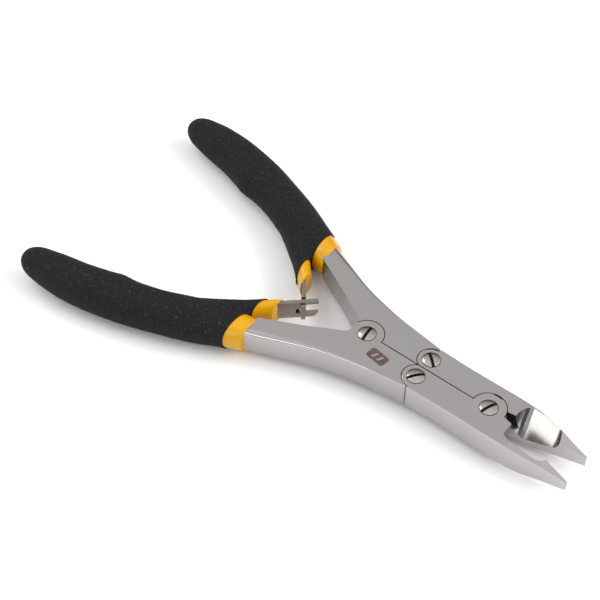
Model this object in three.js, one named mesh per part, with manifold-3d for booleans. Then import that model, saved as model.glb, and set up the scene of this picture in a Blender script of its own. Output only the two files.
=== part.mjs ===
// Compound-action crimping pliers lying flat, in millimetres, +Z up. +X runs along the centre line
// to the jaw tips. Y is 0 on the centre line: the near side has y < 0 and the far side y > 0.
// Every piece is drawn with the rear pivot A at x = y = z = 0. The assembly then moves so that the
// origin is under the middle of the tool, on the surface that the grips lie on.
// The tool is drawn fully open, with the two handles stopped against each other on the centre line.
import * as THREE from "three";
import { mergeVertices } from "three/addons/utils/BufferGeometryUtils.js";
import Module from "manifold-3d";

const wasm = await Module();
wasm.setup();

// ---- Driving dimensions, mm ----
const REAR_END = -97.6; // end of the grips
const TIP = 67.5; // end of the jaws
const THICKNESS = 8.26; // steel plates, top to underside
const TOP = THICKNESS / 2;
const OUTSIDE = TOP + 2; // a height clear of the steel, for cutting tools
const LAP_GAP = 0.15; // half of the gap between the two lapped layers
const SPLIT = 0.15; // half of the gap along the centre line
const ARC_GAP = 0.25; // gap round a pivot boss

const PIVOT_A = { x: 0, y: 0 }; // handle to handle
const LINK = { x: 19, y: 3.55 }; // handle to jaw, one on each side
const PIVOT_D = { x: 40, y: 0 }; // jaw to jaw
const BOSS_A = 4.7;
const BOSS_LINK = 3.8;
const BOSS_D = 4.75;
const NOSE_ANGLE = THREE.MathUtils.degToRad(9.5); // each jaw's opening from the centre line

const SHANK_RADIUS = 1.6;
const HOLE_RADIUS = 1.67;
const HEAD_RADIUS = 2.45;
const HEAD_SEAT = 2.3; // height of the head's underside
const COUNTERBORE_RADIUS = 2.65;
const COUNTERBORE_FLOOR = 2.1;

const GRIP_HALF_HEIGHT = 6.2;
const LINER_HALF_HEIGHT = 5.1;
const TANG_GAP = 0.3;
const SLEEVE_GAP = 0.15;
const SPRING_THICKNESS = 1.25;
const SPRING_HALF_HEIGHT = 3.0;
const BLACK_LINE = [-29.6, -31.0]; // where the black stops, on the centre line and 25 mm to the side
const YELLOW_LINE = [-26.4, -26.7]; // where the yellow stops, likewise
const LINE_SPAN = 25;

const FAR = 1;
const NEAR = -1;

// ---- Helpers ----
function solid(geometry) {
  const plain = geometry.clone();
  plain.deleteAttribute("normal");
  plain.deleteAttribute("uv");
  const merged = mergeVertices(plain, 1e-5);
  return new wasm.Manifold(
    new wasm.Mesh({
      numProp: 3,
      vertProperties: new Float32Array(merged.attributes.position.array),
      triVerts: new Uint32Array(merged.index.array),
    }),
  );
}

function geometryOf(manifold) {
  const mesh = manifold.getMesh();
  const geometry = new THREE.BufferGeometry();
  geometry.setAttribute("position", new THREE.BufferAttribute(mesh.vertProperties, 3));
  geometry.setIndex(new THREE.BufferAttribute(mesh.triVerts, 1));
  return geometry;
}

// A geometry drawn on the far side, or its mirror image on the near side.
function onSide(geometry, side) {
  if (side === FAR) return solid(geometry);
  const mirror = geometry.index ? geometry.toNonIndexed() : geometry.clone();
  const position = mirror.attributes.position;
  const corner = new THREE.Vector3();
  for (let i = 0; i < position.count; i += 3) {
    const first = [0, 1, 2].map((k) => corner.fromBufferAttribute(position, i + k).toArray());
    [0, 2, 1].forEach((from, to) => {
      const [x, y, z] = first[from];
      position.setXYZ(i + to, x, -y, z);
    });
  }
  return solid(mirror);
}

// A flat plate with a plan outline [[x, y], ...] between two heights.
function plate(outline, low, high, side = FAR) {
  const shape = new THREE.Shape(outline.map(([x, y]) => new THREE.Vector2(x, y)));
  const geometry = new THREE.ExtrudeGeometry(shape, { depth: high - low, bevelEnabled: false });
  geometry.translate(0, 0, low);
  return onSide(geometry, side);
}

function disc(centre, radius, low, high, side = FAR, segments = 72) {
  const geometry = new THREE.CylinderGeometry(radius, radius, high - low, segments);
  geometry.rotateX(Math.PI / 2);
  geometry.translate(centre.x, centre.y, (low + high) / 2);
  return onSide(geometry, side);
}

// A smooth plan curve through a few points, as points evenly spaced along it.
function smooth(points, steps) {
  return new THREE.SplineCurve(points.map(([x, y]) => new THREE.Vector2(x, y)))
    .getSpacedPoints(steps)
    .map((p) => [p.x, p.y]);
}

// A strip of even thickness along a plan curve.
function strip(points, thickness, steps) {
  const curve = new THREE.SplineCurve(points.map(([x, y]) => new THREE.Vector2(x, y)));
  const left = [];
  const right = [];
  for (let i = 0; i <= steps; i++) {
    const p = curve.getPoint(i / steps);
    const d = curve.getTangent(i / steps);
    left.push([p.x - d.y * (thickness / 2), p.y + d.x * (thickness / 2)]);
    right.push([p.x + d.y * (thickness / 2), p.y - d.x * (thickness / 2)]);
  }
  return [...right, ...left.reverse()];
}

// A large block whose lower face lies on the plane through a point with the given upward normal.
function blockAbove(point, normal, side) {
  const size = 60;
  const geometry = new THREE.BoxGeometry(size, size, size);
  geometry.translate(0, 0, size / 2);
  const turn = new THREE.Quaternion().setFromUnitVectors(
    new THREE.Vector3(0, 0, 1),
    new THREE.Vector3(...normal).normalize(),
  );
  geometry.applyQuaternion(turn);
  geometry.translate(...point);
  return onSide(geometry, side);
}

const group = new THREE.Group();
function addPart(name, manifold, material) {
  const mesh = new THREE.Mesh(geometryOf(manifold), material);
  mesh.name = name;
  group.add(mesh);
}

// ---- Materials ----
const steel = new THREE.MeshStandardMaterial({ color: 0xb1b0af, roughness: 0.38, metalness: 1 });
const screwSteel = new THREE.MeshStandardMaterial({ color: 0xc4c2bc, roughness: 0.25, metalness: 1 });
const springSteel = new THREE.MeshStandardMaterial({ color: 0xa39a8e, roughness: 0.32, metalness: 1 });
const yellow = new THREE.MeshStandardMaterial({ color: 0xebaa05, roughness: 0.3, metalness: 0 });
const blackFoam = new THREE.MeshStandardMaterial({ color: 0x2a292e, roughness: 0.9, metalness: 0 });

// ---- Screw holes ----
function screwHole(body, centre, side, low, high) {
  return body.subtract(disc(centre, HOLE_RADIUS, low, high, side, 36));
}

function counterbore(body, centre, side) {
  return body.subtract(disc(centre, COUNTERBORE_RADIUS, COUNTERBORE_FLOOR, OUTSIDE, side, 48));
}

// Lapped boss: one leaf keeps a disc in its own layer, and the other leaf is cut away round it.
function upperBoss(body, centre, radius, side) {
  return body
    .add(disc(centre, radius, LAP_GAP, TOP, side))
    .subtract(disc(centre, radius + ARC_GAP, -OUTSIDE, LAP_GAP, side));
}

function lowerBoss(body, centre, radius, side) {
  return body
    .add(disc(centre, radius, -TOP, -LAP_GAP, side))
    .subtract(disc(centre, radius + ARC_GAP, -LAP_GAP, OUTSIDE, side));
}

// The half of a boss that lies on its own side of the centre line.
function ownHalf(body, side) {
  const [back, front, width] = [-10, 75, 60];
  const outline = [
    [REAR_END + back, SPLIT],
    [TIP + front, SPLIT],
    [TIP + front, width],
    [REAR_END + back, width],
  ];
  return body.intersect(plate(outline, -OUTSIDE, OUTSIDE, side));
}

// ---- Handles ----
const JOINT_GAP = 0.3; // open joint between a handle's front and its jaw's back
const ARM_OUTER = [
  [-27, 20.9],
  [-20, 18.2],
  [-9.5, 13.9],
  [0, 11.3],
  [7, 9.9],
  [13.5, 8.95],
  [LINK.x - JOINT_GAP / 2, 8.2],
];
const ARM_INNER = [
  [-5.1, 2.8],
  [-15.2, 8.5],
  [-22.3, 12.0],
  [-27, 14.4],
];
// The tang is the tapering bar inside the grip. It continues the arm's two edges.
const TANG_INNER = [
  [-34, 18.2],
  [-46, 23.6],
  [-62, 29.2],
  [-84, 33.6],
];
const TANG_OUTER = [
  [-84, 37.0],
  [-62, 33.6],
  [-46, 28.6],
  [-34, 23.9],
];

const SLEEVE_HALF = 3.3; // half-height of the tang, thinner than the arm

function handleOutline() {
  return [
    [LINK.x - JOINT_GAP / 2, SPLIT],
    ...smooth(ARM_OUTER, 18).reverse(),
    ...smooth(ARM_INNER, 8).reverse(),
    [-4.4, 1.6],
    [-2, SPLIT],
  ];
}

function tangOutline(extra) {
  const inner = smooth(TANG_INNER, 8).map(([x, y]) => [x, y - extra]);
  const outer = smooth(TANG_OUTER, 8).map(([x, y]) => [x, y + extra]);
  return [
    [-26.5, 14.4 - extra],
    ...inner,
    [-84 - extra, 33.6 - extra],
    [-84 - extra, 37.0 + extra],
    ...outer,
    [-26.5, 20.6 + extra],
  ];
}

function makeHandle(side) {
  const outline = handleOutline().reverse();
  let body = plate(outline, -TOP, TOP, side);
  body = body.add(plate(tangOutline(0), -SLEEVE_HALF, SLEEVE_HALF, side));
  const link = disc(LINK, BOSS_LINK, -TOP, -LAP_GAP, side);
  body = body.add(ownHalf(link, side));
  body = body.subtract(disc(LINK, BOSS_LINK + ARC_GAP, -LAP_GAP, OUTSIDE, side));
  body = side === NEAR
    ? upperBoss(body, PIVOT_A, BOSS_A, side)
    : lowerBoss(body, PIVOT_A, BOSS_A, side);
  body = screwHole(body, PIVOT_A, side, -OUTSIDE, OUTSIDE);
  body = screwHole(body, LINK, side, -OUTSIDE, OUTSIDE);
  if (side === NEAR) body = counterbore(body, PIVOT_A, side);
  return body.subtract(rivetSolid(side, RIVET_GAP));
}

// ---- Jaws ----
const JAW_BACK = LINK.x + JOINT_GAP / 2;
const NOSE_CLEARANCE = 0.05;
const BLADE_START = 45.2;
const NOSE_START = 60.2; // where both jaws' gripping faces begin
const noseLine = (x) => Math.tan(NOSE_ANGLE) * (x - PIVOT_D.x) + NOSE_CLEARANCE;
const JAW_OUTER = [
  [JAW_BACK, 8.2],
  [27, 7.95],
  [36, 7.95],
  [45, 8.05],
  [50.5, 7.75],
  [54.5, 7.15],
  [59, 6.3],
  [63, 5.65],
  [TIP - 0.2, 5.1],
];

function jawOutline() {
  return [
    [JAW_BACK, SPLIT],
    [PIVOT_D.x, SPLIT],
    [BLADE_START, noseLine(BLADE_START)],
    [NOSE_START, noseLine(NOSE_START)],
    [TIP, noseLine(TIP)],
    ...smooth(JAW_OUTER, 24).reverse(),
  ];
}

// Both jaws thin towards the tip on the underside.
const UNDERSIDE_RISE_START = 55;
const TIP_UNDERSIDE = -2.6;
function riseUnderside(body, side) {
  const run = TIP - UNDERSIDE_RISE_START;
  const rise = TIP_UNDERSIDE + TOP;
  const wedge = new THREE.Shape([
    new THREE.Vector2(UNDERSIDE_RISE_START, -TOP),
    new THREE.Vector2(UNDERSIDE_RISE_START, -OUTSIDE),
    new THREE.Vector2(TIP + run, -OUTSIDE),
    new THREE.Vector2(TIP + run, -TOP + 2 * rise),
  ]);
  const width = 30;
  const geometry = new THREE.ExtrudeGeometry(wedge, { depth: width, bevelEnabled: false });
  geometry.rotateX(Math.PI / 2);
  geometry.translate(0, width / 2, 0);
  return body.subtract(onSide(geometry, side));
}

function makeJaw(side) {
  let body = plate(jawOutline(), -TOP, TOP, side);
  const link = disc(LINK, BOSS_LINK, LAP_GAP, TOP, side);
  body = body.add(ownHalf(link, side));
  body = body.subtract(disc(LINK, BOSS_LINK + ARC_GAP, -OUTSIDE, LAP_GAP, side));
  body = side === NEAR
    ? upperBoss(body, PIVOT_D, BOSS_D, side)
    : lowerBoss(body, PIVOT_D, BOSS_D, side);
  return riseUnderside(body, side);
}

function drillJaw(body, side) {
  let drilled = screwHole(body, PIVOT_D, side, -OUTSIDE, OUTSIDE);
  drilled = screwHole(drilled, LINK, side, -OUTSIDE, OUTSIDE);
  return counterbore(drilled, LINK, side);
}

// Near jaw: a tongue in front of its boss, and a rounded crimping notch right through.
const TONGUE = [
  [41, 0.1],
  [44.45, -0.1],
  [47.6, 0.7],
  [47.6, 4.6],
  [44, 4.6],
];
const NOTCH_BACK = 47.5;
const NOTCH_CURVE = [
  [NOTCH_BACK, 4.2],
  [48.3, 5.1],
  [49.9, 5.55],
  [52.4, 5.6],
  [55.5, 5.55],
  [57.6, 5.3],
  [58.9, 4.7],
  [59.7, 3.95],
  [NOSE_START, 3.2],
];

function makeNearJaw() {
  let body = makeJaw(NEAR);
  body = body.add(plate(TONGUE, LAP_GAP, TOP, NEAR));
  const inside = -2;
  const notch = [[NOTCH_BACK, inside], [NOSE_START, inside], ...smooth(NOTCH_CURVE, 22).reverse()];
  body = body.subtract(plate(notch, -OUTSIDE, OUTSIDE, NEAR));
  body = body.subtract(blockAbove([50.2, 6, TOP], [0.183, 0, 1], NEAR));
  body = body.subtract(blockAbove([NOSE_START, 3.56, 2.27], [0.215, 0, 1], NEAR));
  return counterbore(drillJaw(body, NEAR), PIVOT_D, NEAR);
}

// Far jaw: a relief beside the tongue, and a ground scoop that leaves a thin straight edge.
const SCOOP_TILT = THREE.MathUtils.degToRad(50.5);
const SCOOP_SKEW = -0.12; // the scoop's walls lean back towards the outside
const SCOOP_EDGE = { y: 2.34, z: -1.9 }; // a point of the scoop's floor over the inner edge
const SCOOP_PROFILE = [
  [46.9, 9],
  [47.35, 4.5],
  [47.6, 2.9],
  [48.0, 1.75],
  [48.6, 0.9],
  [49.4, 0.3],
  [50.4, 0],
  [58.3, 0],
  [59.1, 0.2],
  [59.7, 0.65],
  [60.2, 1.35],
  [60.5, 2.2],
  [60.8, 9],
];
const RELIEF = [
  [43.5, -1],
  [49.5, -1],
  [49.5, 2.4],
  [47.7, 2.4],
  [43.5, 1.75],
];

function scoopCutter() {
  const shape = new THREE.Shape(SCOOP_PROFILE.map(([x, n]) => new THREE.Vector2(x, n)));
  const length = 24;
  const geometry = new THREE.ExtrudeGeometry(shape, { depth: length, bevelEnabled: false });
  // The profile's second axis becomes the floor's normal, and its depth runs up the slope.
  const along = new THREE.Vector3(SCOOP_SKEW, Math.cos(SCOOP_TILT), Math.sin(SCOOP_TILT));
  const normal = new THREE.Vector3(0, -Math.sin(SCOOP_TILT), Math.cos(SCOOP_TILT));
  const axes = new THREE.Matrix4().makeBasis(
    new THREE.Vector3(1, 0, 0),
    normal,
    along.clone().negate(),
  );
  geometry.translate(0, 0, -length / 2);
  geometry.applyMatrix4(axes);
  geometry.translate(0, SCOOP_EDGE.y, SCOOP_EDGE.z);
  return onSide(geometry, FAR);
}

function makeFarJaw() {
  let body = makeJaw(FAR);
  body = body.subtract(plate(RELIEF, -LAP_GAP, OUTSIDE, FAR));
  body = body.subtract(scoopCutter());
  body = body.subtract(blockAbove([NOSE_START, 3.56, 2.27], [0.262, -0.317, 1], FAR));
  return drillJaw(body, FAR);
}

addPart("near_jaw", makeNearJaw(), steel);
addPart("far_jaw", makeFarJaw(), steel);

// ---- Pivot screws: slotted, with a slightly domed head in a counterbore ----
const SLOT_WIDTH = 0.9;
const SLOT_FLOOR = 3.2;
const SHANK_END = -3.95;
function makeScrew(centre, slotTurn) {
  const crown = 0.35;
  const profile = [
    [0, SHANK_END],
    [SHANK_RADIUS - 0.15, SHANK_END],
    [SHANK_RADIUS, SHANK_END + 0.15],
    [SHANK_RADIUS, HEAD_SEAT],
    [HEAD_RADIUS, HEAD_SEAT],
    [HEAD_RADIUS, TOP - 0.15],
    [HEAD_RADIUS * 0.85, TOP + crown * 0.35],
    [HEAD_RADIUS * 0.5, TOP + crown * 0.8],
    [0, TOP + crown],
  ];
  const geometry = new THREE.LatheGeometry(profile.map(([r, z]) => new THREE.Vector2(r, z)), 28);
  geometry.rotateX(Math.PI / 2);
  const slot = new THREE.BoxGeometry(HEAD_RADIUS * 3, SLOT_WIDTH, 3);
  slot.translate(0, 0, SLOT_FLOOR + 1.5);
  const cut = solid(geometry).subtract(solid(slot));
  const turned = geometryOf(cut);
  turned.rotateZ(slotTurn);
  turned.translate(centre.x, centre.y, 0);
  return solid(turned);
}

const { degToRad } = THREE.MathUtils;
const NEAR_LINK = { x: LINK.x, y: -LINK.y };
addPart("rear_pivot_screw", makeScrew(PIVOT_A, degToRad(97)), screwSteel);
addPart("far_link_screw", makeScrew(LINK, degToRad(139)), screwSteel);
addPart("near_link_screw", makeScrew(NEAR_LINK, degToRad(52)), screwSteel);
addPart("jaw_pivot_screw", makeScrew(PIVOT_D, degToRad(70)), screwSteel);

// ---- Sleeves: a yellow liner dipped over each tang, and a black foam grip over the liner ----
// A station is [x, y, half-width]: the sleeve's middle line on the far side and its size there.
const GRIP_STATIONS = [
  [REAR_END, 36.1, 0.8],
  [-96.9, 36.1, 2.1],
  [-95.6, 36.05, 3.4],
  [-93.2, 35.95, 4.5],
  [-90.1, 35.75, 5.15],
  [-84, 35.2, 5.95],
  [-76.3, 34.15, 6.4],
  [-69.1, 32.4, 6.8],
  [-65.7, 31.4, 7.05],
  [-62, 30.7, 6.7],
  [-58.4, 29.75, 6.45],
  [-51.8, 27.5, 6.3],
  [-45.4, 24.9, 6.45],
  [-40.8, 22.9, 6.4],
  [-36.5, 21.2, 6.05],
  [-31.5, 19.4, 5.6],
  [-28, 18.2, 5.3],
];
const LINER_STATIONS = [
  [-86.6, 35.6, 3.6],
  [-84, 35.2, 4.4],
  [-69.1, 32.4, 4.6],
  [-58.4, 29.75, 4.6],
  [-45.4, 25.1, 4.7],
  [-36.5, 21.2, 4.9],
  [-31.5, 19.4, 5.3],
  [-28.6, 18.4, 4.75],
  [-26.6, 17.75, 4.3],
  [-24.5, 17.0, 4.0],
];
// The branch that carries the return spring leaves the grip's inner side.
const BRANCH_STATIONS = [
  [-46.5, 24.0, 4.2],
  [-43.8, 21.9, 4.4],
  [-40, 18.9, 4.15],
  [-36.3, 15.6, 3.65],
  [-32.9, 12.5, 3.15],
  [-29.7, 9.0, 2.7],
  [-27, 6.2, 2.6],
];
const BRANCH_LINER_STATIONS = [
  [-42, 20.4, 3.1],
  [-36.3, 15.6, 2.9],
  [-32.9, 12.3, 2.7],
  [-30.4, 9.6, 2.6],
  [-28.4, 7.7, 2.2],
  [-26.5, 5.95, 1.75],
  [-25, 4.5, 1.6],
];

const SLEEVE_SIDES = 16;

// A tube of rounded sections through the stations, made by bending a cylinder.
function sleeve(stations, heightOf, steps, grow = 0, squareness = 2.1) {
  const path = new THREE.SplineCurve(stations.map(([x, y]) => new THREE.Vector2(x, y)));
  const widths = new THREE.SplineCurve(stations.map((s, i) => new THREE.Vector2(i, s[2])));
  const geometry = new THREE.CylinderGeometry(1, 1, 1, SLEEVE_SIDES, steps);
  const position = geometry.attributes.position;
  for (let i = 0; i < position.count; i++) {
    const across = position.getX(i);
    const up = position.getZ(i);
    const t = Math.min(Math.max(position.getY(i) + 0.5, 0), 1);
    const middle = path.getPoint(t);
    const tangent = path.getTangent(t);
    const halfWidth = widths.getPoint(t).y + grow;
    const halfHeight = heightOf(halfWidth - grow) + grow;
    const reach = (Math.abs(across) ** squareness + Math.abs(up) ** squareness) ** (1 / squareness);
    const round = reach > 0.5 ? 1 / reach : 0;
    const offset = across * round * halfWidth;
    const overrun = t === 0 ? -grow : t === 1 ? grow : 0;
    position.setXYZ(
      i,
      middle.x + tangent.y * offset + tangent.x * overrun,
      middle.y - tangent.x * offset + tangent.y * overrun,
      up * round * halfHeight,
    );
  }
  return geometry;
}

const gripHeight = (halfWidth) => Math.min(halfWidth * 0.96, GRIP_HALF_HEIGHT);
const linerHeight = (halfWidth) => Math.min(halfWidth * 1.1, LINER_HALF_HEIGHT);
const branchHeight = (halfWidth) => 3.75 + halfWidth * 0.26;
const branchLinerHeight = (halfWidth) => 3.45 + halfWidth * 0.27;

// The part of a body that lies behind a dip line.
function behind(body, [near, far], side) {
  const slope = (far - near) / LINE_SPAN;
  const inner = near - slope * LINE_SPAN;
  const outer = near + slope * 2 * LINE_SPAN;
  const outline = [
    [inner, -LINE_SPAN],
    [inner + 60, -LINE_SPAN],
    [inner + 60, 2 * LINE_SPAN],
    [outer, 2 * LINE_SPAN],
  ];
  return body.subtract(plate(outline, -OUTSIDE, OUTSIDE, side));
}

function linerSolid(side, grow) {
  const main = onSide(sleeve(LINER_STATIONS, linerHeight, 12, grow), side);
  return main.add(onSide(sleeve(BRANCH_LINER_STATIONS, branchLinerHeight, 6, grow), side));
}

// The clamped tail of each return spring runs from the branch's mouth to the tang's inner face,
// where one rivet holds it.
const SPRING_TAIL = [
  [-53, 25.1],
  [-49.5, 23.85],
  [-45.5, 22.0],
  [-41, 18.9],
  [-36.3, 14.9],
  [-33.2, 12.0],
  [-31.0, 9.9],
];
const RIVET = { x: -49.5, y: 23.85, turn: THREE.MathUtils.degToRad(-19.5) };
const RIVET_RADIUS = 1.1;
const RIVET_HEAD = { radius: 1.8, height: 0.5 };
const RIVET_LENGTH = 7.4; // from under the tail to the tang's outer face
const RIVET_GAP = 0.12;

function tailSolid(side, gap) {
  const half = SPRING_HALF_HEIGHT + gap;
  return plate(strip(SPRING_TAIL, SPRING_THICKNESS + 2 * gap, 14), -half, half, side);
}

// The rivet stands across the tang, or the room it needs when gap is above 0.
function rivetSolid(side, gap) {
  const start = -SPRING_THICKNESS / 2 - RIVET_HEAD.height - gap;
  const end = start + RIVET_LENGTH + 2 * gap;
  const head = RIVET_HEAD.radius + gap;
  const headHeight = RIVET_HEAD.height + 2 * gap;
  const profile = [
    [0, start],
    [head, start],
    [head, start + headHeight],
    [RIVET_RADIUS + gap, start + headHeight],
    [RIVET_RADIUS + gap, end - headHeight],
    [head, end - headHeight],
    [head, end],
    [0, end],
  ];
  const geometry = new THREE.LatheGeometry(profile.map(([r, y]) => new THREE.Vector2(r, y)), 16);
  geometry.rotateZ(RIVET.turn);
  geometry.translate(RIVET.x, RIVET.y, 0);
  return onSide(geometry, side);
}

// The pocket in the branch where the spring leaf is held and bends.
const POCKET = [
  [-30.2, 9.0],
  [-29.2, 8.1],
  [-26.3, 5.4],
  [-24.5, 3.5],
];
const POCKET_ROOM = 0.45;

function makeLiner(side) {
  let body = linerSolid(side, 0);
  const tangHalf = SLEEVE_HALF + TANG_GAP;
  body = body.subtract(plate(tangOutline(TANG_GAP), -tangHalf, tangHalf, side));
  const arm = [
    [-20, 10.8 - TANG_GAP],
    [-20, 18.4 + TANG_GAP],
    [-27.3, 21.0 + TANG_GAP],
    [-27.3, 14.2 - TANG_GAP],
  ];
  body = body.subtract(plate(arm, -TOP - TANG_GAP, TOP + TANG_GAP, side));
  body = body.subtract(tailSolid(side, TANG_GAP)).subtract(rivetSolid(side, TANG_GAP));
  const pocketHalf = SPRING_HALF_HEIGHT + TANG_GAP;
  const pocket = strip(POCKET, SPRING_THICKNESS + 2 * POCKET_ROOM, 8);
  body = body.subtract(plate(pocket, -pocketHalf, pocketHalf, side));
  return behind(body, YELLOW_LINE, side);
}

function makeGrip(side) {
  const main = onSide(sleeve(GRIP_STATIONS, gripHeight, 20), side);
  const branch = onSide(sleeve(BRANCH_STATIONS, branchHeight, 6), side);
  const hollow = linerSolid(side, SLEEVE_GAP).add(tailSolid(side, TANG_GAP));
  return behind(main.add(branch).subtract(hollow), BLACK_LINE, side);
}

function makeTail(side) {
  return tailSolid(side, 0).subtract(rivetSolid(side, RIVET_GAP));
}

addPart("near_liner", makeLiner(NEAR), yellow);
addPart("far_liner", makeLiner(FAR), yellow);
addPart("near_grip", makeGrip(NEAR), blackFoam);
addPart("far_grip", makeGrip(FAR), blackFoam);

addPart("near_spring_tail", makeTail(NEAR), springSteel);
addPart("far_spring_tail", makeTail(FAR), springSteel);
addPart("near_spring_rivet", rivetSolid(NEAR, 0), screwSteel);
addPart("far_spring_rivet", rivetSolid(FAR, 0), screwSteel);

// ---- Return springs: two leaves that hook into each other behind the rear pivot ----
const FORK_LEAF = [
  [-29.6, 8.3],
  [-26.3, 5.5],
  [-24.2, 3.5],
  [-22.3, 1.75],
  [-18.6, -2.0],
];
// The slot opens into a wider mouth between the prongs, and the lower prong is the shorter one.
const FORK_ROOT = -22.7;
const FORK_SLOT = { middle: -0.4, half: 0.95 };
const FORK_MOUTH = { start: -21.3, low: -1.75, high: 2.05 };
const LOWER_PRONG_END = -19.05;

function springLeaf(points, steps, side) {
  return plate(strip(points, SPRING_THICKNESS, steps), -SPRING_HALF_HEIGHT, SPRING_HALF_HEIGHT, side);
}

// Everything in front of a plane across the tool, between two heights.
function beyond(start, low, high) {
  const length = 10;
  const box = new THREE.BoxGeometry(length, length, high - low);
  box.translate(start + length / 2, 0, (high + low) / 2);
  return solid(box);
}

function makeForkSpring() {
  const leaf = springLeaf(FORK_LEAF, 12, NEAR);
  const slot = beyond(FORK_ROOT, FORK_SLOT.middle - FORK_SLOT.half, FORK_SLOT.middle + FORK_SLOT.half);
  const mouth = beyond(FORK_MOUTH.start, FORK_MOUTH.low, FORK_MOUTH.high);
  const end = beyond(LOWER_PRONG_END, -OUTSIDE, FORK_MOUTH.high);
  return leaf.subtract(slot).subtract(mouth).subtract(end);
}

// The neck passes through the fork's slot, and the bar beyond it keeps the leaves together.
const HOOK_LEAF = [
  [-29.5, 8.4],
  [-27.6, 6.65],
  [-25.5, 4.1],
  [-23.9, 2.0],
  [-22.5, 0.15],
];
const HOOK_NECK = [
  [-22.9, 0.68],
  [-20.7, -2.25],
];
const HOOK_BAR = [
  [-21.05, -1.78],
  [-20.4, -2.65],
];
const NECK_HALF = 0.62;
const BAR_HALF = 2.5;

function makeHookSpring() {
  const leaf = springLeaf(HOOK_LEAF, 8, FAR);
  const neckLow = FORK_SLOT.middle - NECK_HALF;
  const neckHigh = FORK_SLOT.middle + NECK_HALF;
  const neck = plate(strip(HOOK_NECK, SPRING_THICKNESS * 0.9, 6), neckLow, neckHigh, FAR);
  const bar = plate(strip(HOOK_BAR, SPRING_THICKNESS, 2), -BAR_HALF, BAR_HALF, FAR);
  return leaf.add(neck).add(bar);
}

addPart("near_return_spring", makeForkSpring(), springSteel);
addPart("far_return_spring", makeHookSpring(), springSteel);

addPart("near_handle", makeHandle(NEAR), steel);
addPart("far_handle", makeHandle(FAR), steel);

// ---- Placement: the origin goes under the middle of the tool, on the resting surface ----
group.position.set(-(REAR_END + TIP) / 2, 0, GRIP_HALF_HEIGHT);

export default group;
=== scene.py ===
import math

import bmesh
import bpy
from mathutils import Matrix, Vector, noise


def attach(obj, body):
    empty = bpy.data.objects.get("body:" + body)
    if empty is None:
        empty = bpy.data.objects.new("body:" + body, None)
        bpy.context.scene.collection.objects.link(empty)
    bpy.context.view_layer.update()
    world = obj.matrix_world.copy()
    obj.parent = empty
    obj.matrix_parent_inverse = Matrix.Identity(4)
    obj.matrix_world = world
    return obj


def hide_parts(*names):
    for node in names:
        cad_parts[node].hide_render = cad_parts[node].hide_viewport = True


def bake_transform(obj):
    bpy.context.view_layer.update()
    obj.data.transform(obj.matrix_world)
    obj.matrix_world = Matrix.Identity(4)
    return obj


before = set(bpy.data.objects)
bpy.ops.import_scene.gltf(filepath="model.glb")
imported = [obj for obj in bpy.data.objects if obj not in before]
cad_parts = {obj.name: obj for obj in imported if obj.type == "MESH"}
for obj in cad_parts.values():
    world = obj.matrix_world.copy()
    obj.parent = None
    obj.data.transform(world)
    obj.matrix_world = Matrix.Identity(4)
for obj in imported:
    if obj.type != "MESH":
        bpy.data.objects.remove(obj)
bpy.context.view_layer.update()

# ---- Measurements, in millimetres, along the tool (u), across it (v) and up (w) from the rear pivot ----
MM = 0.001
REAR_PIVOT = (15.05, 0.0, 6.2)  # where the rear pivot stands in the frame
PLATE_TOP = 4.13
LINK_U = 19.0
LINK_V = 3.55
JAW_PIVOT_U = 40.0
HEAD_RADIUS = 2.45
HEAD_LIFT = 0.05  # the head's rim above the plate
HEAD_CROWN = 0.42  # the dome's height above its rim
HEAD_DEPTH = 1.0  # how far the head reaches into its counterbore
SLOT_WIDTH = 0.85
SLOT_DEPTH = 0.75
SCOOP = (47, 61)  # the far jaw's ground scoop, along u
SCOOP_RIM = 0.28
RELIEF = (43, 49.5)  # the recess beside the near jaw's tongue, along u, painted near-black as shade
RELIEF_REACH = 2.6
OUTER_SIDE = 4.6  # the plates' outer sides lie further out than this,
BOSS_REACH = 7  # and their ground edges further from the rear pivot than this
NEAR, FAR = -1, 1

# Widths of the outer ground edges, as (u, width) places.
TOP_ARRIS = [(-24, 1.9), (8, 0.2), (30, 0.2), (45, 0.45), (50, 0.2)]
BOTTOM_ARRIS = [(-24, 0.9), (34, 0.9), (50, 0.12), (51, 0.0)]
WIDEST_ARRIS = 2.0

# Grip centre lines: (u, v, half-width), from the rear end forward.
GRIP_LINE = [
    (-97.4, 36.1, 0.8), (-96.9, 36.1, 2.2), (-95.6, 36.05, 3.5), (-93.2, 35.95, 4.6), (-90.1, 35.75, 5.2),
    (-84, 35.2, 5.95), (-76.3, 34.15, 6.4), (-69.1, 32.4, 6.8), (-65.7, 31.4, 7.05), (-62, 30.7, 6.7),
    (-58.4, 29.75, 6.45), (-51.8, 27.5, 6.3), (-45.4, 24.9, 6.45), (-40.8, 22.9, 6.4), (-36.5, 21.2, 6.05),
    (-31.5, 19.4, 5.6), (-28, 18.2, 5.3), (-25.5, 17.3, 5.1),
]
GRIP_BRANCH = [
    (-46.5, 24.0, 4.2), (-43.8, 21.9, 4.4), (-40, 18.9, 4.15), (-36.3, 15.65, 3.6), (-32.9, 12.6, 3.1),
    (-29.7, 9.2, 2.6), (-27, 6.4, 2.5), (-25, 4.4, 2.4),
]
LINER_LINE = [
    (-38.5, 21.9, 4.7), (-36.5, 21.2, 4.9), (-31.5, 19.4, 5.3), (-28.6, 18.4, 4.8), (-26.6, 17.75, 4.35),
    (-24.5, 17.0, 4.0),
]
LINER_BRANCH = [
    (-36.3, 15.6, 2.2), (-32.9, 12.5, 2.2), (-30.4, 9.9, 2.2), (-28.4, 7.85, 2.15), (-26.5, 5.95, 1.85),
    (-25, 4.5, 1.6),
]
GRIP_HALF_HEIGHT = 6.15
LINER_HALF_HEIGHT = 5.1
BLACK_LINE = (-29.6, -0.056)  # u on the centre line, and its change for each millimetre to the side
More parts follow.
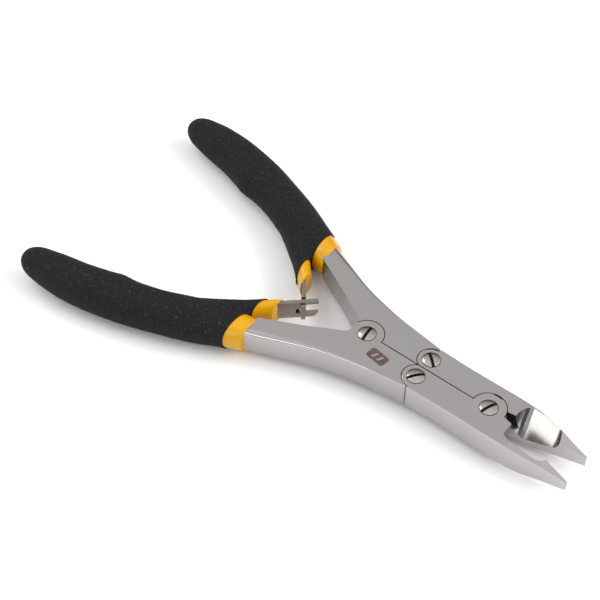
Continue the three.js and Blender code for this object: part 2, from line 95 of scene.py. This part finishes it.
YELLOW_LINE = (-26.4, -0.012)


def place(u, v, w):
    """A point of the tool, in metres in the frame."""
    return Vector(((u + REAR_PIVOT[0]) * MM, (v + REAR_PIVOT[1]) * MM, (w + REAR_PIVOT[2]) * MM))


def tool(co):
    """A frame point back in tool millimetres."""
    return co.x / MM - REAR_PIVOT[0], co.y / MM - REAR_PIVOT[1], co.z / MM - REAR_PIVOT[2]


# ---- Shader helpers ----
def new_material(name):
    material = bpy.data.materials.new(name)
    material.use_nodes = True
    tree = material.node_tree
    return material, tree, tree.nodes["Principled BSDF"]


def node(tree, kind, **sockets):
    made = tree.nodes.new(kind)
    for key, value in sockets.items():
        made.inputs[key.replace("_", " ")].default_value = value
    return made


def srgb(r, g, b):
    def linear(c):
        c /= 255
        return c / 12.92 if c <= 0.04045 else ((c + 0.055) / 1.055) ** 2.4

    return (linear(r), linear(g), linear(b), 1.0)


def grey(level):
    return (level, level, level, 1.0)


def coordinates(tree, scale):
    """Object coordinates stretched by scale along each axis."""
    source = tree.nodes.new("ShaderNodeTexCoord")
    mapping = tree.nodes.new("ShaderNodeMapping")
    mapping.inputs["Scale"].default_value = scale
    tree.links.new(source.outputs["Object"], mapping.inputs["Vector"])
    return mapping.outputs["Vector"]


def noise_of(tree, vector, scale, detail=3.0, roughness=0.5):
    made = node(tree, "ShaderNodeTexNoise", Scale=scale, Detail=detail, Roughness=roughness)
    tree.links.new(vector, made.inputs["Vector"])
    return made.outputs["Fac"]


def ramp(tree, factor, stops):
    made = tree.nodes.new("ShaderNodeValToRGB")
    elements = made.color_ramp.elements
    while len(elements) < len(stops):
        elements.new(0.5)
    for element, (position, colour) in zip(elements, stops):
        element.position = position
        element.color = colour
    tree.links.new(factor, made.inputs["Fac"])
    return made.outputs["Color"]


def spread(tree, factor, low, high):
    """The factor's middle range mapped onto low..high."""
    made = tree.nodes.new("ShaderNodeMapRange")
    made.inputs["From Min"].default_value = 0.3
    made.inputs["From Max"].default_value = 0.7
    made.inputs["To Min"].default_value = low
    made.inputs["To Max"].default_value = high
    tree.links.new(factor, made.inputs["Value"])
    return made.outputs["Result"]


def bump(tree, height, strength, distance, below=None):
    made = node(tree, "ShaderNodeBump", Strength=strength, Distance=distance)
    tree.links.new(height, made.inputs["Height"])
    if below is not None:
        tree.links.new(below, made.inputs["Normal"])
    return made.outputs["Normal"]


def ground_steel(name, light, dark, grain, roughness):
    """Ground stainless steel: fine lines along the grain and cloudy patches."""
    material, tree, shader = new_material(name)
    lines = noise_of(tree, coordinates(tree, grain), scale=1.0, detail=4.0, roughness=0.62)
    clouds = noise_of(tree, coordinates(tree, (1, 1, 1)), scale=90.0, detail=3.0, roughness=0.55)
    mixed = node(tree, "ShaderNodeMix", Factor=0.35)
    tree.links.new(lines, mixed.inputs["A"])
    tree.links.new(clouds, mixed.inputs["B"])
    blend = mixed.outputs["Result"]
    tree.links.new(ramp(tree, blend, [(0.3, dark), (0.7, light)]), shader.inputs["Base Color"])
    tree.links.new(spread(tree, blend, *roughness), shader.inputs["Roughness"])
    fine = bump(tree, lines, strength=0.01, distance=0.00001)
    tree.links.new(bump(tree, clouds, strength=0.08, distance=0.00010, below=fine), shader.inputs["Normal"])
    shader.inputs["Metallic"].default_value = 1.0
    return material


def foam_rubber():
    """Matt foam rubber: a charcoal skin with open pores and dusty pale flecks."""
    material, tree, shader = new_material("black_foam")
    here = coordinates(tree, (1, 1, 1))
    pores = node(tree, "ShaderNodeTexVoronoi", Scale=2600.0)
    tree.links.new(here, pores.inputs["Vector"])
    soft = noise_of(tree, here, scale=1500.0, detail=5.0, roughness=0.7)
    patches = noise_of(tree, here, scale=140.0, detail=3.0, roughness=0.5)
    flecks = ramp(tree, soft, [
        (0.30, srgb(9, 9, 11)), (0.48, srgb(20, 20, 22)), (0.60, srgb(33, 32, 35)), (0.72, srgb(82, 80, 84)),
    ])
    tint = ramp(tree, patches, [(0.3, grey(0.80)), (0.7, grey(1.0))])
    mixed = tree.nodes.new("ShaderNodeMix")
    mixed.data_type = "RGBA"
    mixed.blend_type = "MULTIPLY"
    mixed.inputs["Factor"].default_value = 1.0
    tree.links.new(flecks, mixed.inputs["A"])
    tree.links.new(tint, mixed.inputs["B"])
    tree.links.new(mixed.outputs["Result"], shader.inputs["Base Color"])
    tree.links.new(spread(tree, soft, 0.72, 0.95), shader.inputs["Roughness"])
    deep = bump(tree, pores.outputs["Distance"], strength=0.35, distance=0.00008)
    tree.links.new(bump(tree, soft, strength=0.6, distance=0.00016, below=deep), shader.inputs["Normal"])
    shader.inputs["Specular IOR Level"].default_value = 0.25
    return material


def dipped_vinyl():
    """Glossy dipped vinyl, a little thicker and deeper in colour in places."""
    material, tree, shader = new_material("yellow_dip")
    here = coordinates(tree, (1, 1, 1))
    patches = noise_of(tree, here, scale=160.0, detail=3.0, roughness=0.5)
    orange_peel = noise_of(tree, here, scale=700.0, detail=2.0, roughness=0.5)
    colour = ramp(tree, patches, [
        (0.3, srgb(205, 146, 0)), (0.55, srgb(214, 156, 0)), (0.75, srgb(220, 163, 2)),
    ])
    tree.links.new(colour, shader.inputs["Base Color"])
    tree.links.new(spread(tree, patches, 0.20, 0.34), shader.inputs["Roughness"])
    tree.links.new(bump(tree, orange_peel, strength=0.12, distance=0.00008), shader.inputs["Normal"])
    shader.inputs["Specular IOR Level"].default_value = 0.35
    shader.inputs["Coat Weight"].default_value = 0.2
    shader.inputs["Coat Roughness"].default_value = 0.12
    return material


def etched_brown():
    """The brown etched mark: oxidised steel, patchy where the etch is thin."""
    material, tree, shader = new_material("etched_brown")
    patches = noise_of(tree, coordinates(tree, (1, 1, 1)), scale=1400.0, detail=4.0, roughness=0.6)
    colour = ramp(tree, patches, [(0.3, srgb(72, 54, 54)), (0.7, srgb(100, 80, 79))])
    tree.links.new(colour, shader.inputs["Base Color"])
    tree.links.new(spread(tree, patches, 0.45, 0.7), shader.inputs["Roughness"])
    shader.inputs["Metallic"].default_value = 0.2
    return material


LONG_GRAIN = (160, 9000, 9000)  # fine lines along the tool
STEEL = ground_steel(
    "ground_steel", srgb(185, 182, 182), srgb(181, 178, 177), LONG_GRAIN, roughness=(0.27, 0.29))
# Polished outer sides: smoother than the ground steel and a little darker, the darkness being painted shade
# on the sides.
POLISHED_SHADED_STEEL = ground_steel(
    "polished_shaded_steel", srgb(180, 176, 176), srgb(174, 170, 169), LONG_GRAIN, roughness=(0.12, 0.15))
SCOOP_STEEL = ground_steel(
    "milled_steel", srgb(188, 187, 184), srgb(164, 162, 159), (3600, 500, 500), roughness=(0.18, 0.26))
SCREW_STEEL = ground_steel(
    "turned_steel", srgb(206, 204, 196), srgb(160, 158, 150), (1500, 1500, 1500), roughness=(0.16, 0.26))
# Near-black steel: painted shade for the screw slots and the far jaw's recess.
PAINTED_SHADE_STEEL = ground_steel(
    "painted_shade_steel", srgb(62, 60, 57), srgb(34, 33, 31), (2500, 2500, 2500), roughness=(0.4, 0.6))
SPRING_STEEL = ground_steel(
    "strip_steel", srgb(170, 158, 147), srgb(142, 130, 120), (700, 700, 5200), roughness=(0.24, 0.36))
FOAM = foam_rubber()
VINYL = dipped_vinyl()
BROWN = etched_brown()


# ---- Mesh helpers ----
def add_object(name, mesh):
    made = bpy.data.objects.new(name, mesh)
    bpy.context.scene.collection.objects.link(made)
    return made


def object_from(name, bm, material):
    mesh = bpy.data.meshes.new(name)
    bm.to_mesh(mesh)
    bm.free()
    mesh.materials.append(material)
    return add_object(name, mesh)


def freeze(obj):
    """Turns the object's modifiers into mesh."""
    bpy.context.view_layer.update()
    graph = bpy.context.evaluated_depsgraph_get()
    mesh = bpy.data.meshes.new_from_object(obj.evaluated_get(graph))
    old = obj.data
    obj.modifiers.clear()
    obj.data = mesh
    bpy.data.meshes.remove(old)


def smooth_shade(obj, angle):
    obj.data.shade_smooth()
    obj.data.set_sharp_from_angle(angle=math.radians(angle))


def interpolate(line, steps_between):
    """A smooth curve through the stations, as (u, v, half-width)."""
    points = [Vector(p) for p in line]
    ends = [2 * points[0] - points[1]] + points + [2 * points[-1] - points[-2]]
    out = []
    for i in range(1, len(ends) - 2):
        a, b, c, d = ends[i - 1:i + 3]
        for k in range(steps_between):
            t = k / steps_between
            out.append(0.5 * (2 * b + (c - a) * t + (2 * a - 5 * b + 4 * c - d) * t * t
                              + (3 * b - a - 3 * c + d) * t ** 3))
    out.append(points[-1])
    return out


def loft(bm, line, height_of, side, squareness=2.1, around=56, steps_between=5):
    """Adds a closed sleeve of rounded-square rings along a line of stations."""
    stations = interpolate(line, steps_between)
    rings = []
    for i, here in enumerate(stations):
        before = stations[max(i - 1, 0)]
        after = stations[min(i + 1, len(stations) - 1)]
        along = (after - before).to_2d().normalized()
        across = Vector((-along.y, along.x))
        half_width = max(here.z, 0.3)
        half_height = height_of(half_width)
        ring = []
        for k in range(around):
            angle = 2 * math.pi * k / around
            c, s = math.cos(angle), math.sin(angle)
            a = half_width * math.copysign(abs(c) ** (2 / squareness), c)
            w = half_height * math.copysign(abs(s) ** (2 / squareness), s)
            ring.append(bm.verts.new(place(here.x + across.x * a, side * (here.y + across.y * a), w)))
        rings.append(ring)
    for lower, upper in zip(rings, rings[1:]):
        for k in range(around):
            bm.faces.new((lower[k], lower[(k + 1) % around], upper[(k + 1) % around], upper[k]))
    bm.faces.new(list(reversed(rings[0])))
    bm.faces.new(rings[-1])


def cut_at(bm, line, side):
    """Cuts a body off square at a dip line and closes it there."""
    u, slope = line
    point = place(u, 0, 0)
    normal = Vector((1, -slope * side, 0)).normalized()
    geometry = bm.verts[:] + bm.edges[:] + bm.faces[:]
    cut = bmesh.ops.bisect_plane(bm, geom=geometry, plane_co=point, plane_no=normal, clear_outer=True)
    rim = [e for e in cut["geom_cut"] if isinstance(e, bmesh.types.BMEdge)]
    faces = bmesh.ops.edgeloop_fill(bm, edges=rim)["faces"]
    return [e for f in faces for e in f.edges]


def dipped_body(name, side, material, lines, voxel, smoothing, cut, rim, crease=0.0):
    """Sleeves joined into one body, cut at the dip line with a rounded rim."""
    bm = bmesh.new()
    for line, height_of in lines:
        loft(bm, line, height_of, side)
    bmesh.ops.recalc_face_normals(bm, faces=bm.faces[:])
    obj = object_from(name, bm, material)
    remesh = obj.modifiers.new("union", "REMESH")
    remesh.mode = "VOXEL"
    remesh.voxel_size = voxel * MM
    relax = obj.modifiers.new("relax", "SMOOTH")
    relax.factor = 0.5
    relax.iterations = smoothing
    freeze(obj)
    bm = bmesh.new()
    bm.from_mesh(obj.data)
    edges = list(set(cut_at(bm, cut, side)))
    bmesh.ops.bevel(
        bm, geom=edges, offset=rim * MM, segments=3, profile=0.6, affect="EDGES", clamp_overlap=True
    )
    bmesh.ops.recalc_face_normals(bm, faces=bm.faces[:])
    if crease:
        ripple(bm, crease)
    bm.to_mesh(obj.data)
    bm.free()
    obj.data.materials.clear()
    obj.data.materials.append(material)
    smooth_shade(obj, 50)
    return obj


def ripple(bm, depth):
    """Moves the skin in and out a little, as moulded foam is."""
    bm.normal_update()
    for vert in bm.verts:
        broad = noise.noise(vert.co * 170)
        fine = noise.noise(vert.co * 620)
        vert.co += vert.normal * (broad * 0.6 + fine * 0.4 - 0.6) * depth * MM


# ---- Grips and their dipped liners ----
def make_grip(side, word):
    """A foam sleeve over the arm's rear, forked like the handle toward the middle."""
    lines = [
        (GRIP_LINE, lambda half: min(half * 0.96, GRIP_HALF_HEIGHT)),
        (GRIP_BRANCH, lambda half: 3.75 + half * 0.26),
    ]
    grip = dipped_body(
        f"{word}_foam_grip", side, FOAM, lines,
        voxel=0.34, smoothing=7, cut=BLACK_LINE, rim=0.3, crease=0.09)
    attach(grip, f"{word}_handle")
    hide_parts(f"{word}_grip")


def make_liner(side, word):
    """The yellow dip that shows between the foam and the steel, on the arm and on its branch."""
    arm = dipped_body(
        f"{word}_arm_band", side, VINYL, [(LINER_LINE, lambda half: min(half * 1.1, LINER_HALF_HEIGHT))],
        voxel=0.24, smoothing=4, cut=YELLOW_LINE, rim=0.35)
    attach(arm, f"{word}_handle")
    branch = dipped_body(
        f"{word}_branch_band", side, VINYL, [(LINER_BRANCH, lambda half: 3.45 + half * 0.27)],
        voxel=0.2, smoothing=4, cut=YELLOW_LINE, rim=0.3)
    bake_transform(branch)
    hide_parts(f"{word}_liner")
    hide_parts(f"{word}_liner")


# ---- Steel parts: the CAD solids with their ground edges ----
def width_at(u, places):
    """The width at u on the line through (u, width) places, which goes on level past both ends."""
    for (u0, a), (u1, b) in zip(places, places[1:]):
        if u < u1:
            return a + (b - a) * max(0.0, (u - u0) / (u1 - u0))
    return places[-1][1]


def arris_width(edge):
    """Width in mm of the ground edge that replaces a sharp edge of a plate, or 0 to leave it sharp."""
    if len(edge.link_faces) != 2 or edge.calc_face_angle(0) < math.radians(22):
        return 0.0
    u, v, _ = tool((edge.verts[0].co + edge.verts[1].co) / 2)
    normals = [face.normal for face in edge.link_faces]
    flat = [n for n in normals if abs(n.z) > 0.9]
    side_on = [n for n in normals if n.y * v > 0 and abs(n.y) > 0.6 and abs(n.z) < 0.3]
    if flat and side_on and abs(v) > OUTER_SIDE and math.hypot(u, v) > BOSS_REACH:
        return width_at(u, TOP_ARRIS if flat[0].z > 0 else BOTTOM_ARRIS)
    scoop_side = any(n.y < -0.5 and n.z > 0.5 for n in normals) and any(n.y > 0.8 for n in normals)
    if scoop_side and SCOOP[0] + 1 < u < SCOOP[1] - 1:
        return SCOOP_RIM
    return 0.0


def finish_of(face, far_jaw):
    """Index of a plate face's material: 0 as ground, 1 glossier, 2 near-black painted shade.

    Glossier are the far jaw's milled scoop and the other plates' outsides behind the link screws; those
    outsides are also painted a little darker as shade. The painted shade fills the far jaw's recess.
    """
    u, v, w = tool(face.center)
    normal = face.normal
    if not far_jaw:
        # Outer sides behind the link screws: polished, and painted a little darker as shade.
        outside = abs(v) > OUTER_SIDE and abs(normal.z) < 0.1 and normal.y * v > 0
        return int(outside and u < LINK_U - 0.5)
    if SCOOP[0] < u < SCOOP[1] and normal.y < -0.2 and normal.z > 0.25:
        return 1
    # The recess beside the tongue gets the near-black steel: painted shade.
    recessed = RELIEF[0] < u < RELIEF[1] and abs(v) < RELIEF_REACH and -1 < w < 2
    return 2 if recessed else 0


def settle_normals(mesh):
    """Flat faces stay flat, rounded edges and curved walls shade smoothly."""
    bm = bmesh.new()
    bm.from_mesh(mesh)
    bm.normal_update()
    broad_area = 6 * MM * MM
    closest = math.cos(math.radians(27))
    areas = [face.calc_area() for face in bm.faces]
    normals = [face.normal.copy() for face in bm.faces]
    settled = []
    for face in bm.faces:
        mine = normals[face.index]
        broad = areas[face.index] > broad_area and abs(mine.z) > 0.3
        for loop in face.loops:
            total = mine * areas[face.index] ** 2
            for other in loop.vert.link_faces:
                theirs = normals[other.index]
                if other is face or mine.dot(theirs) < closest:
                    continue
                if broad and areas[other.index] > broad_area:
                    continue
                total = total + theirs * areas[other.index] ** 2
            settled.append(total.normalized() if total.length > 0 else mine)
    bm.free()
    mesh.shade_smooth()
    mesh.normals_split_custom_set(settled)


def make_plate(body):
    """A handle or jaw: the CAD solid with its outer edges ground round."""
    name = f"{body}_plate"
    bm = bmesh.new()
    bm.from_mesh(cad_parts[body].data)
    bmesh.ops.remove_doubles(bm, verts=bm.verts[:], dist=2e-6)
    bmesh.ops.dissolve_limit(bm, angle_limit=math.radians(0.6), verts=bm.verts[:], edges=bm.edges[:])
    weights = bm.edges.layers.float.new("bevel_weight_edge")
    for edge in bm.edges:
        edge[weights] = arris_width(edge) / WIDEST_ARRIS
    mesh = bpy.data.meshes.new(name)
    bm.to_mesh(mesh)
    bm.free()
    far_jaw = body == "far_jaw"
    mesh.materials.clear()
    for material in (STEEL, SCOOP_STEEL if far_jaw else POLISHED_SHADED_STEEL, PAINTED_SHADE_STEEL):
        mesh.materials.append(material)
    for face in mesh.polygons:
        face.material_index = finish_of(face, far_jaw)
    plate = add_object(name, mesh)
    bevel = plate.modifiers.new("arris", "BEVEL")
    bevel.width = WIDEST_ARRIS * MM
    bevel.segments = 5
    bevel.limit_method = "WEIGHT"
    bevel.use_clamp_overlap = False
    freeze(plate)
    settle_normals(plate.data)
    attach(plate, body)
    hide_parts(body)


# ---- Springs ----
def make_leaf(word):
    """A spring leaf keeps its CAD shape and follows its own spring body."""
    stand_in = f"{word}_return_spring"
    leaf = add_object(f"{word}_leaf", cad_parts[stand_in].data.copy())
    leaf.data.materials.clear()
    leaf.data.materials.append(SPRING_STEEL)
    smooth_shade(leaf, 25)
    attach(leaf, f"{word}_spring")
    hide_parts(stand_in)


def give_material(node_name, material):
    """A CAD node that is shown as it is."""
    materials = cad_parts[node_name].data.materials
    materials.clear()
    materials.append(material)


# ---- Screws ----
def domed_head(name, u, v):
    """A closed round head with a shallow dome, centred over (u, v)."""
    around, rings = 64, 10
    rim = PLATE_TOP + HEAD_LIFT
    underside = PLATE_TOP - HEAD_DEPTH
    profile = []
    for i in range(1, rings + 1):
        r = HEAD_RADIUS * i / rings
        profile.append((r, rim + HEAD_CROWN * (1 - (r / HEAD_RADIUS) ** 2)))
    profile.append((HEAD_RADIUS, underside))
    bm = bmesh.new()
    top = bm.verts.new(place(u, v, rim + HEAD_CROWN))
    bottom = bm.verts.new(place(u, v, underside))
    turns = [2 * math.pi * k / around for k in range(around)]
    loops = [
        [bm.verts.new(place(u + r * math.cos(t), v + r * math.sin(t), w)) for t in turns]
        for r, w in profile
    ]
    for k in range(around):
        n = (k + 1) % around
        bm.faces.new((top, loops[0][k], loops[0][n]))
        bm.faces.new((bottom, loops[-1][n], loops[-1][k]))
        for inner, outer in zip(loops, loops[1:]):
            bm.faces.new((inner[k], outer[k], outer[n], inner[n]))
    bmesh.ops.recalc_face_normals(bm, faces=bm.faces[:])
    return object_from(name, bm, SCREW_STEEL)


def cut_slot(head, u, v, turn, floor):
    """Saws a straight slot across the head and gives its faces the near-black steel as painted shade."""
    length, height = 8, 3
    sides = Matrix.Diagonal((length * MM, SLOT_WIDTH * MM, height * MM, 1))
    middle = Matrix.Translation(place(u, v, floor + height / 2))
    bm = bmesh.new()
    bmesh.ops.create_cube(bm, size=1.0)
    bm.transform(middle @ Matrix.Rotation(turn, 4, "Z") @ sides)
    cutter = object_from(f"{head.name}_cutter", bm, SCREW_STEEL)
    saw = head.modifiers.new("slot", "BOOLEAN")
    saw.operation = "DIFFERENCE"
    saw.solver = "EXACT"
    saw.object = cutter
    freeze(head)
    bpy.data.objects.remove(cutter)
    head.data.materials.clear()
    head.data.materials.append(SCREW_STEEL)
    head.data.materials.append(PAINTED_SHADE_STEEL)
    # Faces inside the slot get the painted shade.
    for face in head.data.polygons:
        face_u, face_v, face_w = tool(face.center)
        across = (face_v - v) * math.cos(turn) - (face_u - u) * math.sin(turn)
        in_slot = abs(across) < SLOT_WIDTH * 0.51 and face_w > floor - 0.05
        face.material_index = int(in_slot)


def make_screw(name, u, v, turn_degrees, body, stand_in_for):
    """A domed, slotted head in its counterbore."""
    head = domed_head(name, u, v)
    cut_slot(head, u, v, math.radians(turn_degrees), PLATE_TOP + HEAD_LIFT + HEAD_CROWN - SLOT_DEPTH)
    smooth_shade(head, 30)
    edge = head.modifiers.new("edge", "BEVEL")
    edge.width = 0.05 * MM
    edge.segments = 2
    edge.limit_method = "ANGLE"
    edge.angle_limit = math.radians(40)
    edge.harden_normals = True
    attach(head, body)
    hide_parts(stand_in_for)


# ---- The generic etched mark on the near handle ----
def rounded_rectangle(bm, centre, length, width, radius, turn, w, shear=0.0, corner_steps=6):
    points = []
    for i, (cx, cy) in enumerate(((1, 1), (-1, 1), (-1, -1), (1, -1))):
        for k in range(corner_steps + 1):
            angle = math.radians(90 * i + 90 * k / corner_steps)
            x = cx * (length / 2 - radius) + radius * math.cos(angle)
            y = cy * (width / 2 - radius) + radius * math.sin(angle)
            points.append((x + shear * y, y))
    c, s = math.cos(turn), math.sin(turn)
    turned = [(centre[0] + x * c - y * s, centre[1] + x * s + y * c) for x, y in points]
    return bm.faces.new([bm.verts.new(place(u, v, w)) for u, v in turned])


def raised_patch(name, patches, thickness, material):
    bm = bmesh.new()
    faces = [rounded_rectangle(bm, *patch) for patch in patches]
    extruded = bmesh.ops.extrude_face_region(bm, geom=faces)
    up = [g for g in extruded["geom"] if isinstance(g, bmesh.types.BMVert)]
    bmesh.ops.translate(bm, vec=(0, 0, thickness * MM), verts=up)
    bmesh.ops.recalc_face_normals(bm, faces=bm.faces[:])
    return object_from(name, bm, material)


def make_mark():
    """A brown rounded plate with two slanted steel bars."""
    u, v = 7.1, -4.7
    turn = math.radians(-8)
    field = ((u, v), 6.1, 3.5, 0.8, turn, PLATE_TOP - 0.01)
    bars = [
        ((u + along, v + across), 0.7, 2.0, 0.33, turn, PLATE_TOP + 0.01, 0.35)
        for along, across in ((-0.95, 0.1), (0.95, -0.15))
    ]
    pieces = [
        raised_patch("etched_mark", [field], 0.03, BROWN),
        raised_patch("etched_mark_bars", bars, 0.02, STEEL),
    ]
    for piece in pieces:
        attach(piece, "near_handle")


# ---- Camera, floor and light ----
def make_camera():
    """The view looks down and across from the near grip's side, a little off the object's middle."""
    turn, rise = math.radians(39.09), math.radians(48.756)
    right = Vector((math.cos(turn), math.sin(turn), 0))
    flat = Vector((-math.sin(turn), math.cos(turn), 0))
    up = flat * math.sin(rise) + Vector((0, 0, math.cos(rise)))
    ahead = flat * math.cos(rise) - Vector((0, 0, math.sin(rise)))
    distance, offset_right, offset_up = 0.3912, 0.01836, -0.01193
    eye = place(0, 0, 0) - right * offset_right - up * offset_up - ahead * distance
    data = bpy.data.cameras.new("camera")
    data.lens = 85.2
    data.sensor_width = 36
    data.clip_start = 0.01
    camera = bpy.data.objects.new("camera", data)
    rotation = Matrix((right, up, -ahead)).transposed().to_4x4()
    camera.matrix_world = Matrix.Translation(eye) @ rotation
    bpy.context.scene.collection.objects.link(camera)
    bpy.context.scene.camera = camera


def make_floor():
    """Plain white paper under the tool."""
    bm = bmesh.new()
    bmesh.ops.create_grid(bm, x_segments=8, y_segments=8, size=2.5)
    material, tree, shader = new_material("paper")
    tooth = noise_of(tree, coordinates(tree, (1, 1, 1)), scale=900.0, detail=2.0, roughness=0.5)
    tree.links.new(ramp(tree, tooth, [(0.3, grey(0.93)), (0.7, grey(0.96))]), shader.inputs["Base Color"])
    shader.inputs["Roughness"].default_value = 0.9
    shader.inputs["Specular IOR Level"].default_value = 0.1
    floor = object_from("floor", bm, material)
    floor.location.z = -0.00002


def soft_light(name, position, target, size, power):
    data = bpy.data.lights.new(name, "AREA")
    data.shape = "RECTANGLE"
    data.size, data.size_y = size
    data.energy = power
    light = bpy.data.objects.new(name, data)
    light.location = position
    light.rotation_euler = (Vector(target) - Vector(position)).to_track_quat("-Z", "Y").to_euler()
    bpy.context.scene.collection.objects.link(light)


def make_light():
    """A studio that is dark near the horizon and bright overhead, with three soft panels."""
    world = bpy.data.worlds.new("studio")
    bpy.context.scene.world = world
    world.use_nodes = True
    tree = world.node_tree
    background = tree.nodes["Background"]
    direction = tree.nodes.new("ShaderNodeTexCoord")
    split = tree.nodes.new("ShaderNodeSeparateXYZ")
    tree.links.new(direction.outputs["Generated"], split.inputs["Vector"])
    sky = ramp(tree, split.outputs["Z"], [
        (0.0, grey(0.03)), (0.30, grey(0.10)), (0.55, grey(0.60)), (0.78, grey(0.74)), (1.0, grey(0.95)),
    ])
    tree.links.new(sky, background.inputs["Color"])
    background.inputs["Strength"].default_value = 1.0
    soft_light("key", (1.1, 0.65, 0.75), target=(0, 0, 0), size=(1.2, 1.2), power=22.0)
    soft_light("fill", (-1.1, -0.1, 0.8), target=(0, 0, 0), size=(1.0, 1.0), power=9.0)
    soft_light("near_side", (-0.20, -0.95, 0.45), target=(0.03, 0, 0), size=(1.15, 0.45), power=3.7)
    bpy.context.scene.view_settings.view_transform = "Standard"


make_camera()
make_floor()
make_light()

for side, word in ((NEAR, "near"), (FAR, "far")):
    make_grip(side, word)
    make_liner(side, word)

for body in ("near_handle", "far_handle", "near_jaw", "far_jaw"):
    make_plate(body)
for word in ("near", "far"):
    make_leaf(word)
    give_material(f"{word}_spring_tail", SPRING_STEEL)
    give_material(f"{word}_spring_rivet", SCREW_STEEL)

make_screw("rear_screw", 0, 0, 97, "near_handle", "rear_pivot_screw")
make_screw("far_screw", LINK_U, LINK_V, 139, "far_jaw", "far_link_screw")
make_screw("near_screw", LINK_U, -LINK_V, 52, "near_jaw", "near_link_screw")
make_screw("jaw_screw", JAW_PIVOT_U, 0, 70, "near_jaw", "jaw_pivot_screw")
make_mark()
